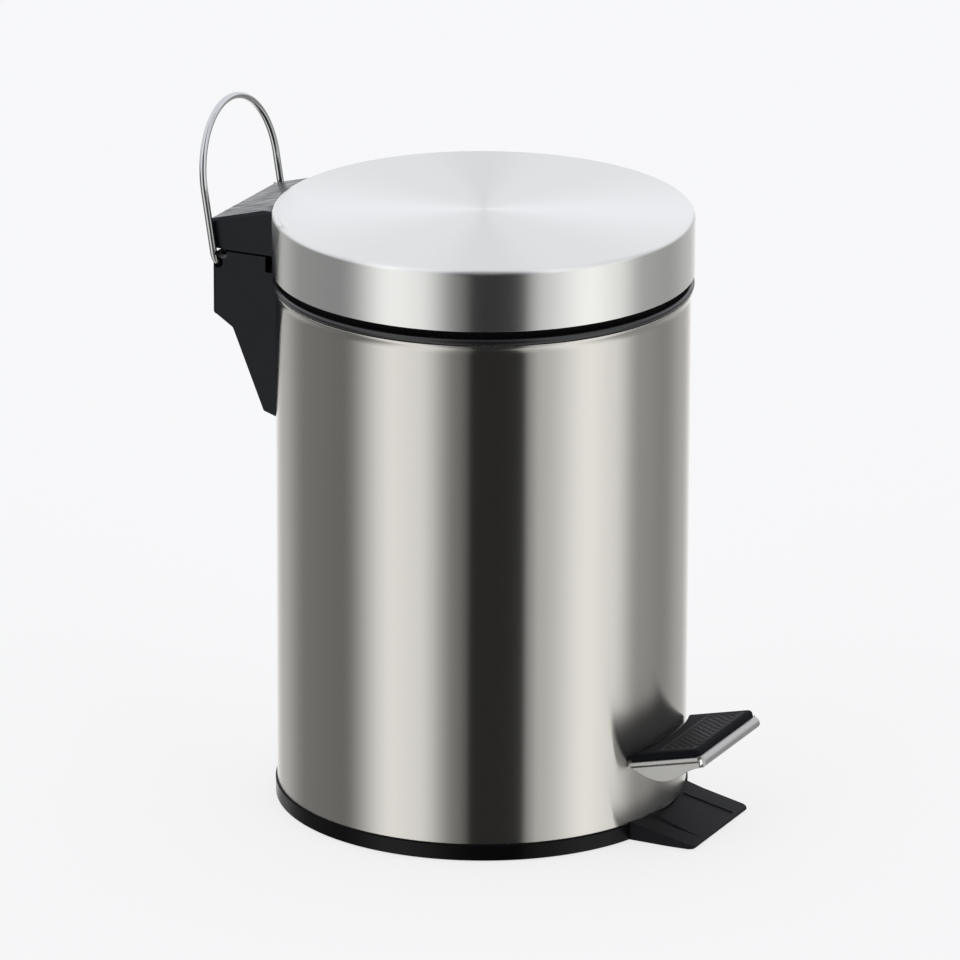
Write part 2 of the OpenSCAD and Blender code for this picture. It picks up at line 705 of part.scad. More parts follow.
// Carrying handle: an arch of wire whose ends turn in through the lower housing
module carry_bail() {
    leg = bail_l - bail_r - bail_bend;
    color("#cfd1d2") translate([0, bail_y, bail_z]) rotate([-bail_lean, 0, 0]) {
        both_sides() {
            translate([bail_r, 0, bail_bend]) cylinder(r = wire_r, h = leg);
            translate([bail_r, 0, bail_bend]) mirror([0, 0, 1]) mirror([1, 0, 0])
                wire_bend(wire_r, bail_bend, 90);
            bar_x(wire_r, house_x - 4.5, bail_r - bail_bend, 0, 0);
        }
        translate([0, 0, bail_bend + leg]) rotate([90, 0, 0]) rotate_extrude(angle = 180)
            translate([bail_r, 0]) circle(r = wire_r);
    }
}

// ---- Pedal ----

// Places a piece on the slope of the pedal; y = 0 is the body's wall
module on_pedal() {
    translate([0, -body_r, pedal_z]) rotate([-pedal_a, 0, 0]) children();
}

// Lever: one steel pressing, with the pedal plate, its turned-down edges, the arm
// through the body, the pivot's ears and the tabs for the push rod
module pedal_lever() {
    plate_x = pedal_w / 2 + 0.6;
    lip_d = 3.6;
    lip_r2 = 2.5;
    color("#c2c3c2") difference() {
        union() {
            difference() {
                on_pedal() {
                    translate([-plate_x, lip_r2 - pedal_out, -pedal_t])
                        cube([2 * plate_x, pedal_out + 6, pedal_t]);
                    along_x(2 - plate_x, plate_x - 2) difference() {
                        union() {
                            translate([lip_r2 - pedal_out, -lip_r2]) circle(r = lip_r2);
                            translate([-pedal_out, -lip_d]) square([pedal_t, lip_d - lip_r2]);
                        }
                        translate([lip_r2 - pedal_out, -lip_r2]) circle(r = lip_r2 - pedal_t);
                        translate([pedal_t - pedal_out, -lip_d - 1]) square([lip_r2 * 2, lip_d + 1 - pedal_t]);
                        translate([lip_r2 - pedal_out, -pedal_t]) square(4);
                    }
                    both_sides() along_x(plate_x - pedal_t, plate_x) pedal_flange();
                }
                cylinder(r = body_r + 1, h = 2 * pedal_z);
                on_pedal() both_sides() translate([pedal_w / 4, stud_y, -5])
                    cylinder(r = stud_r + 0.02, h = 10);
            }
            on_pedal() translate([-arm_x, -4, -pedal_t])
                cube([arm_w, 4 + (body_r + arm_bend_y) / cos(pedal_a), pedal_t]);
            translate([-arm_x, arm_bend_y, arm_flat_z - pedal_t])
                cube([arm_w, rod_in_y - 10 - arm_bend_y, pedal_t]);
            translate([-tab_x, rod_in_y - 11, arm_flat_z - pedal_t])
                cube([2 * tab_x, 11 + tab_l, pedal_t]);
            both_sides() along_x(arm_x - pedal_t, arm_x) {
                polygon([[pivot_y - 45, pedal_top(pivot_y - 45) - 1], [arm_bend_y, arm_flat_z - 0.5],
                    [rod_in_y - 12, arm_flat_z - 0.5], [rod_in_y - 12, arm_flat_z + 3],
                    [arm_bend_y + 1, arm_flat_z + 4], [pivot_y + 9, pivot_z + 2],
                    [pivot_y - 9, pivot_z + 2], [pivot_y - 43, pedal_top(pivot_y - 43) + 2]]);
                translate([pivot_y, pivot_z]) circle(r = pivot_r + 3);
            }
            both_sides() along_x(tab_x - pedal_t, tab_x) {
                translate([rod_in_y - 7, arm_flat_z - 0.5])
                    square([7 + tab_l, rod_foot_z + rod_r + 2.5 - arm_flat_z]);
            }
        }
        bar_x(pivot_r + run_c, -arm_x - 1, arm_x + 1, pivot_y, pivot_z);
        along_x(-tab_x - 1, tab_x + 1) {
            translate([rod_in_y - 0.5, rod_foot_z - rod_r - free_c]) square([1, rod_d + 2 * free_c]);
            translate([rod_in_y - 0.5, rod_foot_z]) circle(r = rod_r + free_c);
            translate([rod_in_y + 0.5, rod_foot_z]) circle(r = rod_r + free_c);
        }
    }
}
tab_x = rod_x - rod_bend - 0.4;
tab_l = 3.8;
stud_y = -14;
stud_r = 2.5;

// Turned-down side edge of the pedal: it swells from the body to its deepest place
// and runs out towards the front
module pedal_flange() {
    steps = 24;
    y = [for (i = [0:steps]) flange_back + (flange_front - flange_back) * i / steps];
    polygon(concat([[flange_front, 0], [flange_back, 0]], [for (v = y) [v, -flange_depth(v)]]));
}
flange_back = 5;
flange_front = 2.5 - pedal_out;
flange_low = -10;
flange_d = 9.1;
flange_end_d = 4.6;
function flange_depth(y) = y > flange_low
    ? pedal_t + 0.2 + (flange_d - pedal_t - 0.2) * sin(90 * (flange_back - y) / (flange_back - flange_low))
    : flange_end_d + (flange_d - flange_end_d)
        * (1 + cos(180 * (flange_low - y) / (flange_low - flange_front))) / 2;

// Pad: ribbed rubber on the pedal, held by two studs pressed through the plate
module pedal_pad() {
    pad_x = pedal_w / 2;
    pad_l = pedal_out - 2.2;
    color("#232325") difference() {
        on_pedal() {
            translate([-pad_x, 2.5 - pad_l, 0]) cube([pedal_w, pad_l + 6, pad_t]);
            translate([2.5 - pad_x, -pad_l, 0]) cube([pedal_w - 5, 2.5 + eps, pad_t]);
            both_sides() translate([pad_x - 2.5, 2.5 - pad_l, 0]) cylinder(r = 2.5, h = pad_t);
            both_sides() translate([pedal_w / 4, stud_y, -pedal_t - 1.5])
                cylinder(r = stud_r, h = pedal_t + 2);
        }
        cylinder(r = body_r + 1.2, h = 2 * pedal_z);
    }
}

// Pivot bracket: a steel bridge on the base's floor with two uprights
module pivot_bracket() {
    x0 = arm_x + 0.6;
    color("#a9abac") difference() {
        union() {
            translate([-pivot_screw_x - 6, pivot_y - 13, floor_top])
                cube([2 * pivot_screw_x + 12, 26, pedal_t]);
            both_sides() along_x(x0, x0 + pedal_t) {
                translate([pivot_y - pivot_r - 4, floor_top])
                    square([2 * pivot_r + 8, pivot_z - floor_top]);
                translate([pivot_y, pivot_z]) circle(r = pivot_r + 4);
            }
        }
        bar_x(pivot_r + 0.02, -x0 - 3, x0 + 3, pivot_y, pivot_z);
        for (y = pivot_screw_y) both_sides() translate([pivot_screw_x, y, floor_top - 1])
            cylinder(r = screw_r + fit_c, h = 4);
    }
}

// Pivot pin: a headed steel pin through the bracket and the lever
module pivot_pin() {
    x1 = arm_x + 0.6 + pedal_t;
    color("#c9cbcc") {
        bar_x(pivot_r, -x1, x1 + clip_t + 1.2, pivot_y, pivot_z);
        bar_x(pivot_r + 1.3, -x1 - 1.5, -x1, pivot_y, pivot_z);
    }
}

// Clip: a push-on washer that keeps the pivot pin in
module pivot_clip() {
    x1 = arm_x + 0.6 + pedal_t;
    color("#8f9192") difference() {
        bar_x(pivot_r + 2, x1, x1 + clip_t, pivot_y, pivot_z);
        bar_x(pivot_r, x1 - 1, x1 + clip_t + 1, pivot_y, pivot_z);
    }
}

// Screws that hold the pivot bracket to the base
module pivot_screws() {
    color("#9a9c9e") for (y = pivot_screw_y) both_sides()
        translate([pivot_screw_x, y, floor_top + pedal_t]) rotate([-90, 0, 0])
            screw(floor_top + pedal_t - foot_out - 2);
}

// Buffer: a rubber button under the lever's back end
module lever_buffer() {
    color("#303032") translate([0, rod_in_y - 19, floor_top])
        cylinder(r = 6, h = arm_flat_z - pedal_t - floor_top - 0.2);
}

// Stop: a rubber block on the base's post that the arm meets at full travel
module pedal_stop() {
    color("#303032") translate([-stop_w / 2, stop_y - stop_l / 2, stop_z - stop_t])
        cube([stop_w, stop_l, stop_t]);
}

// ---- Push rod ----

// Push rod: a bent wire; its foot lies in the lever's tabs, it steps out of the
// body behind the lower housing, and its top lies in the cover's lift arm
module push_rod() {
    z1 = rod_top_z - rod_bend;
    color("#c9cbcc") {
        bar_x(rod_r, -tab_x - clip_t - 1, rod_x - rod_bend, rod_in_y, rod_foot_z);
        translate([rod_x, rod_in_y, rod_foot_z + rod_bend]) mirror([0, 0, 1]) mirror([1, 0, 0])
            wire_bend(rod_r, rod_bend, 90);
        translate([rod_x, rod_in_y, rod_foot_z + rod_bend])
            cylinder(r = rod_r, h = jog_z - jog_r - rod_foot_z - rod_bend);
        translate([rod_x, rod_in_y, jog_z - jog_r]) rotate([0, 0, 90])
            wire_bend(rod_r, jog_r, 90);
        translate([rod_x, rod_in_y + jog_r, jog_z]) rotate([-90, 0, 0])
            cylinder(r = rod_r, h = rod_out_y - rod_in_y - 2 * jog_r);
        translate([rod_x, rod_out_y, jog_z + jog_r]) mirror([0, 0, 1]) rotate([0, 0, -90])
            wire_bend(rod_r, jog_r, 90);
        translate([rod_x, rod_out_y, jog_z + jog_r]) cylinder(r = rod_r, h = z1 - jog_z - jog_r);
        translate([rod_x, rod_out_y, z1]) mirror([1, 0, 0]) wire_bend(rod_r, rod_bend, 90);
        bar_x(rod_r, -lift_x - 0.4 - clip_t - 1, rod_x - rod_bend, rod_out_y, rod_top_z);
    }
}

// Clips: push-on washers on the rod's two ends
module rod_clips() {
    color("#8f9192") {
        rod_clip(-tab_x - 0.3 - clip_t, rod_in_y, rod_foot_z);
        rod_clip(-lift_x - 0.3 - clip_t, rod_out_y, rod_top_z);
    }
}
module rod_clip(x, y, z) {
    difference() {
        bar_x(rod_r + 1.8, x, x + clip_t, y, z);
        bar_x(rod_r, x - 1, x + clip_t + 1, y, z);
    }
}

// Rod guide: a plastic block inside the body that the rod slides in, with two
// ears under the lower bracket screws
module rod_guide() {
    z0 = bracket_z - 2;
    color("#2a2a2c") difference() {
        union() {
            intersection() {
                translate([-guide_w / 2, rod_in_y - rod_r - 1.8, z0]) cube([guide_w, guide_w / 2, guide_h]);
                cylinder(r = body_in_r - fit_c, h = body_top);
            }
            intersection() {
                ring(body_in_r - fit_c, body_in_r - guide_t, z0, bracket_screw_z[0] + 4.5);
                both_sides() rotate([0, 0, bracket_screw_a]) translate([-4, 0, z0])
                    cube([8, body_r, 40]);
            }
        }
        translate([rod_x, rod_in_y, z0 - 1]) cylinder(r = rod_r + fit_c, h = guide_h + 2);
        both_sides() bar_out(screw_r + fit_c, body_in_r - 8, body_r, bracket_screw_a, bracket_screw_z[0]);
    }
}
// Wall of the guide's ears, and the width and height of its block
guide_t = 2;
guide_w = 0.8 * house_w;
guide_h = 3 * rod_d;

// ---- Assembly ----

base();
feet();
outer_shell();
rim_ring();
inner_bucket();
bucket_bail();
bucket_grip();
lid_shell();
lid_liner();
lid_bumpers();
hinge_cover();
cover_screws();
hinge_bracket();
bracket_screws();
hinge_pin();
carry_bail();
pedal_lever();
pedal_pad();
pivot_bracket();
pivot_pin();
pivot_clip();
pivot_screws();
push_rod();
rod_clips();
rod_guide();
lever_buffer();
pedal_stop();
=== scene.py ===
import math

import bmesh
import bpy
from mathutils import Matrix, Quaternion, Vector


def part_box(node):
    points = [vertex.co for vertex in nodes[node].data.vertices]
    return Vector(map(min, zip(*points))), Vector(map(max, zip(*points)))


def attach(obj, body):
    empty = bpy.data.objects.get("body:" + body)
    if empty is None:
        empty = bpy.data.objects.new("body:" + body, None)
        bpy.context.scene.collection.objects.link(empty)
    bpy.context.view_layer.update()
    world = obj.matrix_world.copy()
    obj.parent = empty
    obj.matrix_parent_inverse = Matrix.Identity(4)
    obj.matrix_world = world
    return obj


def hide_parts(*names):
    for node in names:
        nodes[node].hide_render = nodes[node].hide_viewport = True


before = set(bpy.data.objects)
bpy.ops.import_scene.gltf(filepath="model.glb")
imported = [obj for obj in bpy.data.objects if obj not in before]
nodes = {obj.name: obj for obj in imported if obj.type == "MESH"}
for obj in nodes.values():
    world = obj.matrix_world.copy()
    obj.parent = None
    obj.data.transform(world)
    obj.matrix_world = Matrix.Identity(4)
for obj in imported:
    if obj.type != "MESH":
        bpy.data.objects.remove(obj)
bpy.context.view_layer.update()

# ---------------------------------------------------------------------------
# Camera. A long lens from the left of the pedal, looking down on the lid and
# aimed at the middle of the body.
# ---------------------------------------------------------------------------
mm = 0.001
camera_turn = math.radians(-64.0)
camera_pitch = math.radians(18.372)
camera_roll = math.radians(0.2)
camera_away = 3.5
camera_height = 1.298
camera_left = 0.00115

to_camera = Vector((math.sin(camera_turn), -math.cos(camera_turn), 0.0))
to_right = Vector((math.cos(camera_turn), math.sin(camera_turn), 0.0))
camera = bpy.data.objects.new("camera", bpy.data.cameras.new("camera"))
camera.data.sensor_width = 36.0
camera.data.lens = 336.0
camera.data.clip_end = 50.0
camera.location = camera_away * to_camera - camera_left * to_right + Vector((0.0, 0.0, camera_height))
looking = -math.cos(camera_pitch) * to_camera - Vector((0.0, 0.0, math.sin(camera_pitch)))
roll = Quaternion((0.0, 0.0, 1.0), camera_roll)
camera.rotation_euler = (looking.to_track_quat("-Z", "Y") @ roll).to_euler()
bpy.context.scene.collection.objects.link(camera)
bpy.context.scene.camera = camera
bpy.context.scene.view_settings.view_transform = "Standard"

# ---------------------------------------------------------------------------
# Studio. A pale floor under a bright ceiling, and a ring of light panels with
# dark gaps between them, which the brushed steel shows as upright bands.
# ---------------------------------------------------------------------------
paper_white = 0.93
glow_white = 0.945
glow_share = 0.8


def add_node(tree, kind, **settings):
    """One shader node; settings are its properties."""
    node = tree.nodes.new(kind)
    for name, value in settings.items():
        setattr(node, name, value)
    return node


def maths(tree, operation, a, b=None):
    """A Math node; a and b are sockets or numbers."""
    node = add_node(tree, "ShaderNodeMath", operation=operation)
    for socket, value in zip(node.inputs, (a, b)):
        if isinstance(value, bpy.types.NodeSocket):
            tree.links.new(value, socket)
        elif value is not None:
            socket.default_value = value
    return node.outputs[0]


def remap(tree, value, low, high, out_low, out_high, soft=True):
    """A Map Range node from low..high to out_low..out_high."""
    node = add_node(tree, "ShaderNodeMapRange", interpolation_type="SMOOTHSTEP" if soft else "LINEAR")
    tree.links.new(value, node.inputs["Value"])
    for name, number in (("From Min", low), ("From Max", high), ("To Min", out_low), ("To Max", out_high)):
        node.inputs[name].default_value = number
    return node.outputs["Result"]


# Each stop is a bearing from the camera, in degrees, and the light from there. Below the horizon
# the panels stand close and narrow, above it they are broad.
low_lights = [(-180, 1.25), (-148, 0.60), (-115, 0.23), (-84, 0.19), (-52, 1.22), (-38, 1.12),
              (-14, 0.26), (-10, 0.17), (-6, 0.03), (22, 0.03), (25.5, 0.37), (32, 0.67),
              (62, 1.32), (76, 1.15), (98, 0.42), (120, 0.33), (145, 0.55), (180, 1.25)]
high_lights = [(-180, 1.10), (-110, 1.15), (-85, 1.00), (-55, 1.40), (-35, 1.00), (-8, 0.02),
               (16, 0.02), (42, 1.30), (70, 1.00), (95, 0.90), (120, 1.15), (180, 1.10)]
ceiling_behind = 1.1
ceiling_in_front = 0.45
ceiling_tint = (0.97, 0.98, 1.05, 1.0)

world = bpy.data.worlds.new("studio")
bpy.context.scene.world = world
world.use_nodes = True
tree = world.node_tree
tree.nodes.clear()
split = add_node(tree, "ShaderNodeSeparateXYZ")
tree.links.new(add_node(tree, "ShaderNodeTexCoord").outputs["Generated"], split.inputs[0])
across = maths(tree, "ADD", maths(tree, "MULTIPLY", split.outputs["X"], to_right.x),
               maths(tree, "MULTIPLY", split.outputs["Y"], to_right.y))
along = maths(tree, "ADD", maths(tree, "MULTIPLY", split.outputs["X"], to_camera.x),
              maths(tree, "MULTIPLY", split.outputs["Y"], to_camera.y))
bearing = remap(tree, maths(tree, "ARCTAN2", across, along), -math.pi, math.pi, 0.0, 1.0, soft=False)


def light_ring(lights):
    """Brightness round the object, from a list of (bearing, brightness)."""
    ramp = add_node(tree, "ShaderNodeValToRGB")
    ramp.color_ramp.interpolation = "EASE"
    stops = ramp.color_ramp.elements
    for degrees, brightness in lights:
        place = degrees / 360.0 + 0.5
        stop = stops[0] if place == 0.0 else stops[-1] if place == 1.0 else stops.new(place)
        stop.color = (brightness, brightness, brightness, 1.0)
    tree.links.new(bearing, ramp.inputs[0])
    return ramp.outputs["Color"]


level = add_node(tree, "ShaderNodeMix", data_type="RGBA")
tint = add_node(tree, "ShaderNodeMix", data_type="RGBA")
height = remap(tree, split.outputs["Z"], -0.02, 0.16, 0.0, 1.0)
for mix in (level, tint):
    tree.links.new(height, mix.inputs["Factor"])
tint.inputs[6].default_value = (1.0, 1.0, 1.0, 1.0)
tint.inputs[7].default_value = ceiling_tint
tree.links.new(light_ring(low_lights), level.inputs[6])
tree.links.new(light_ring(high_lights), level.inputs[7])
ceiling = maths(tree, "MULTIPLY", remap(tree, split.outputs["Z"], 0.50, 0.80, 0.0, 1.0),
                remap(tree, along, -0.55, 0.25, ceiling_behind, ceiling_in_front))
brightness = maths(tree, "MAXIMUM", level.outputs[2], ceiling)
studio_light = add_node(tree, "ShaderNodeBackground")
tree.links.new(brightness, studio_light.inputs["Strength"])
tree.links.new(tint.outputs[2], studio_light.inputs["Color"])
paper = add_node(tree, "ShaderNodeBackground")
paper.inputs["Color"].default_value = (paper_white, paper_white, paper_white, 1.0)
pick = add_node(tree, "ShaderNodeMixShader")
tree.links.new(add_node(tree, "ShaderNodeLightPath").outputs["Is Camera Ray"], pick.inputs[0])
tree.links.new(studio_light.outputs[0], pick.inputs[1])
tree.links.new(paper.outputs[0], pick.inputs[2])
tree.links.new(pick.outputs[0], add_node(tree, "ShaderNodeOutputWorld").inputs["Surface"])

floor_mesh = bmesh.new()
bmesh.ops.create_grid(floor_mesh, x_segments=1, y_segments=1, size=6.0)
floor_data = bpy.data.meshes.new("floor")
floor_mesh.to_mesh(floor_data)
floor_mesh.free()
floor = bpy.data.objects.new("floor", floor_data)
bpy.context.scene.collection.objects.link(floor)
floor.visible_glossy = False
floor_paint = bpy.data.materials.new("floor_paper")
floor_paint.use_nodes = True
floor_surface = floor_paint.node_tree.nodes["Principled BSDF"]
floor_surface.inputs["Base Color"].default_value = (paper_white, paper_white, paper_white, 1.0)
floor_surface.inputs["Roughness"].default_value = 0.9
floor_surface.inputs["Specular IOR Level"].default_value = 0.0
floor_tree = floor_paint.node_tree
floor_glow = add_node(floor_tree, "ShaderNodeEmission")
floor_glow.inputs["Color"].default_value = (glow_white, glow_white, glow_white, 1.0)
floor_rays = add_node(floor_tree, "ShaderNodeLightPath")
seen = maths(floor_tree, "MULTIPLY", floor_rays.outputs["Is Camera Ray"], glow_share)
floor_mix = add_node(floor_tree, "ShaderNodeMixShader")
floor_tree.links.new(seen, floor_mix.inputs[0])
floor_tree.links.new(floor_surface.outputs[0], floor_mix.inputs[1])
floor_tree.links.new(floor_glow.outputs[0], floor_mix.inputs[2])
floor_tree.links.new(floor_mix.outputs[0], floor_tree.nodes["Material Output"].inputs["Surface"])
floor_data.materials.append(floor_paint)

# ---------------------------------------------------------------------------
# Base. Black moulded plastic, one piece: a glossy ring round the body's foot and a
# matt tongue on the floor under the pedal. The body, the feet and the pivot are fixed to it.
# ---------------------------------------------------------------------------


def new_material(name, color, roughness, metallic=0.0, specular=0.5):
    """A material with its plain values on the shader's own sockets."""
    material = bpy.data.materials.new(name)
    material.use_nodes = True
    surface = material.node_tree.nodes["Principled BSDF"]
    surface.inputs["Base Color"].default_value = (*color, 1.0)
    surface.inputs["Roughness"].default_value = roughness
    surface.inputs["Metallic"].default_value = metallic
    surface.inputs["Specular IOR Level"].default_value = specular
    return material, material.node_tree, surface


def fine_grain(tree, surface, size, depth, low, high, detail=2.0, stretch=(1.0, 1.0, 1.0)):
    """Bump from a noise of a given grain size in metres, and roughness from low to high with it."""
    mapping = add_node(tree, "ShaderNodeMapping")
    mapping.inputs["Scale"].default_value = stretch
    noise = add_node(tree, "ShaderNodeTexNoise")
    noise.inputs["Scale"].default_value = 1.0 / size
    noise.inputs["Detail"].default_value = detail
    bump = add_node(tree, "ShaderNodeBump")
    bump.inputs["Distance"].default_value = depth
    tree.links.new(add_node(tree, "ShaderNodeTexCoord").outputs["Object"], mapping.inputs["Vector"])
    tree.links.new(mapping.outputs[0], noise.inputs["Vector"])
    tree.links.new(noise.outputs["Fac"], bump.inputs["Height"])
    tree.links.new(bump.outputs[0], surface.inputs["Normal"])
    tree.links.new(remap(tree, noise.outputs["Fac"], 0.3, 0.7, low, high, soft=False),
                   surface.inputs["Roughness"])


def copied(node):
    """A bmesh copy of a CAD node, with its split corners joined and its flat faces made whole."""
    bm = bmesh.new()
    bm.from_mesh(nodes[node].data)
    bmesh.ops.remove_doubles(bm, verts=bm.verts, dist=2e-6)
    bmesh.ops.dissolve_limit(bm, angle_limit=math.radians(0.6), verts=bm.verts, edges=bm.edges)
    return bm


def rounded(bm, width, segments, chosen, angle=25.0):
    """Rounds the edges that are sharper than an angle and have both ends where chosen says."""
    edges = [e for e in bm.edges if len(e.link_faces) == 2 and e.calc_face_angle(0) > math.radians(angle)
             and all(chosen(v.co / mm) for v in e.verts)]
    bmesh.ops.bevel(bm, geom=edges, offset=width, offset_type="OFFSET", segments=segments, affect="EDGES",
                    profile=0.5, material=-1, clamp_overlap=False)
    return bm


def piece(name, bm, materials, slot, body, *stands_for, smooth=35.0):
    """Turns a finished bmesh into an object that rides on a body and stands for CAD nodes."""
    data = bpy.data.meshes.new(name)
    bm.to_mesh(data)
    bm.free()
    if "custom_normal" in data.attributes:
        data.attributes.remove(data.attributes["custom_normal"])
    data.shade_smooth()
    data.set_sharp_from_angle(angle=math.radians(smooth))
    for material in materials:
        data.materials.append(material)
    made = bpy.data.objects.new(name, data)
    bpy.context.scene.collection.objects.link(made)
    even = made.modifiers.new("even_normals", "WEIGHTED_NORMAL")
    even.keep_sharp = True
    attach(made, body)
    if stands_for:
        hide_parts(*stands_for)
    return made


gloss_black, tree, surface = new_material("base_gloss_black", (0.003, 0.003, 0.0034), 0.26, specular=0.09)
fine_grain(tree, surface, 0.010, 0.00002, 0.20, 0.32)
surface.inputs["Coat Weight"].default_value = 0.1
surface.inputs["Coat Roughness"].default_value = 0.12
# Painted shade: a dead black matt copy of the plastic, put on the rim ring's neck under the lid and on a band
# along the top of the base ring, where shade falls in the gaps.
painted_shade_black, tree, surface = new_material("painted_shade_black", (0.004, 0.004, 0.0042), 0.7, specular=0.05)
fine_grain(tree, surface, 0.0008, 0.00003, 0.62, 0.78)
tongue_black, tree, surface = new_material("tongue_matt_black", (0.0095, 0.0098, 0.0108), 0.6, specular=0.12)
fine_grain(tree, surface, 0.0005, 0.00004, 0.52, 0.66, detail=3.0)

base_low, base_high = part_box("base")
ring_r = base_high.x / mm
ring_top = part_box("outer_shell")[0].z / mm
tongue_x = 27.7
base = copied("base")
rounded(base, 0.45 * mm, 3, lambda v: v.xy.length > ring_r - 0.1 and v.z < ring_top + 0.1
        and v.y > -ring_r + 0.1)
rounded(base, 0.7 * mm, 3, lambda v: v.y < -79.0 and v.z > 0.4 and abs(v.x) > tongue_x - 3.2
        and (abs(v.x) > tongue_x - 0.05 or v.y < base_low.y / mm + 3.2))
rounded(base, 0.3 * mm, 2, lambda v: v.y < -78.0 and v.z > 1.0 and 16.0 < abs(v.x) < 16.4)
# The tongue takes the matt tongue plastic; a band along the top of the ring takes painted shade, for the
# shadow in the gap under the body.
for face in base.faces:
    middle = face.calc_center_median() / mm
    if middle.y < -76.0 and middle.xy.length > ring_r + 0.05 and abs(middle.x) < tongue_x + 0.1:
        face.material_index = 1
    elif middle.z > ring_top - 0.4 and middle.xy.length > ring_r - 1.0:
        face.material_index = 2
piece("base_moulding", base, [gloss_black, tongue_black, painted_shade_black], "base_plastic", "root", "base")

# ---------------------------------------------------------------------------
# Feet. Four soft rubber pads pressed into sockets under the base. The bin stands on
# them alone.
# ---------------------------------------------------------------------------


def paint(material, *names):
    """Gives CAD nodes their material."""
    for name in names:
        mesh = nodes[name].data
        mesh.materials.clear()
        mesh.materials.append(material)


rubber, tree, surface = new_material("black_rubber", (0.020, 0.020, 0.021), 0.7, specular=0.3)
fine_grain(tree, surface, 0.0006, 0.00004, 0.62, 0.8)
paint(rubber, "feet")

# ---------------------------------------------------------------------------
# Pivot. A zinc plated steel bridge screwed to the base's floor, whose two uprights
# hold the lever's headed pin and its push-on clip.
# ---------------------------------------------------------------------------
zinc, tree, surface = new_material("zinc_plate", (0.50, 0.51, 0.53), 0.35, metallic=1.0)
fine_grain(tree, surface, 0.0020, 0.00002, 0.28, 0.42, stretch=(1.0, 1.0, 0.4))
bridge = copied("pivot_bracket")
bridge_low, bridge_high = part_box("pivot_bracket")
rounded(bridge, 0.4 * mm, 2, lambda v: v.z < bridge_low.z / mm + 3.0 and abs(v.x) > bridge_high.x / mm - 0.05)
piece("pivot_bridge", bridge, [zinc], "zinc_steel", "root", "pivot_bracket")

screw_zinc, tree, surface = new_material("screw_zinc", (0.44, 0.45, 0.46), 0.32, metallic=1.0)
fine_grain(tree, surface, 0.0012, 0.00002, 0.24, 0.42)
paint(screw_zinc, "pivot_screws", "pivot_clip", "rod_clips")
pin_steel, tree, surface = new_material("pin_steel", (0.58, 0.58, 0.57), 0.22, metallic=1.0)
fine_grain(tree, surface, 0.0004, 0.00001, 0.18, 0.30, stretch=(0.1, 1.0, 1.0))
paint(pin_steel, "pivot_pin")

# ---------------------------------------------------------------------------
# Stop and buffer. Rubber blocks glued to the base: the pressed pedal meets the one in
# front, and the lever's back end rests above the other.
# ---------------------------------------------------------------------------
paint(rubber, "pedal_stop", "lever_buffer")

# ---------------------------------------------------------------------------
# Body. A tube of thin steel brushed round its axis, with a curled bead on top, and slots
# for the pedal's arm in front and the push rod behind.
# ---------------------------------------------------------------------------


def turned(outline, corners=(), steps=256):
    """A full spin about Z of a closed outline of (radius, height) points in millimetres.
    corners gives (place in the outline, radius, segments) for those that are rounded."""
    bm = bmesh.new()
    points = [bm.verts.new((r * mm, 0.0, z * mm)) for r, z in outline]
    for a, b in zip(points, points[1:] + points[:1]):
        bm.edges.new((a, b))
    for index, radius, segments in corners:
        bmesh.ops.bevel(bm, geom=[points[index]], offset=radius * mm, segments=segments, affect="VERTICES",
                        profile=0.5, material=-1)
    bmesh.ops.spin(bm, geom=bm.verts[:] + bm.edges[:], cent=(0, 0, 0), axis=(0, 0, 1),
                   angle=2 * math.pi, steps=steps, use_merge=True)
    bmesh.ops.remove_doubles(bm, verts=bm.verts, dist=1e-6)
    bmesh.ops.dissolve_degenerate(bm, dist=1e-7, edges=bm.edges)
    bmesh.ops.recalc_face_normals(bm, faces=bm.faces)
    return bm


def cut_window(bm, side, x0, x1, z0, z1):
    """Cuts a slot through a turned wall that has points at the heights z0 and z1, in millimetres.
    side is -1 for the front and 1 for the back."""
    doomed = []
    for face in bm.faces:
        middle = face.calc_center_median() / mm
        if side * middle.y > 0 and x0 < middle.x < x1 and z0 < middle.z < z1:
            doomed.append(face)
    bmesh.ops.delete(bm, geom=doomed, context="FACES")
    border = [e for e in bm.edges if len(e.link_faces) == 1]
    ends = {v for e in border for v in e.verts}
    centre = sum(v.co.x for v in ends) / len(ends)
    left, right = min(v.co.x for v in ends), max(v.co.x for v in ends)
    for v in ends:
        radius = v.co.xy.length
        if min(v.co.x - left, right - v.co.x) < 0.5 * mm:
            v.co.x = (x0 if v.co.x < centre else x1) * mm
            v.co.y = side * math.sqrt(radius ** 2 - v.co.x ** 2)
    bmesh.ops.bridge_loops(bm, edges=border)
    bmesh.ops.recalc_face_normals(bm, faces=bm.faces)
    return bm


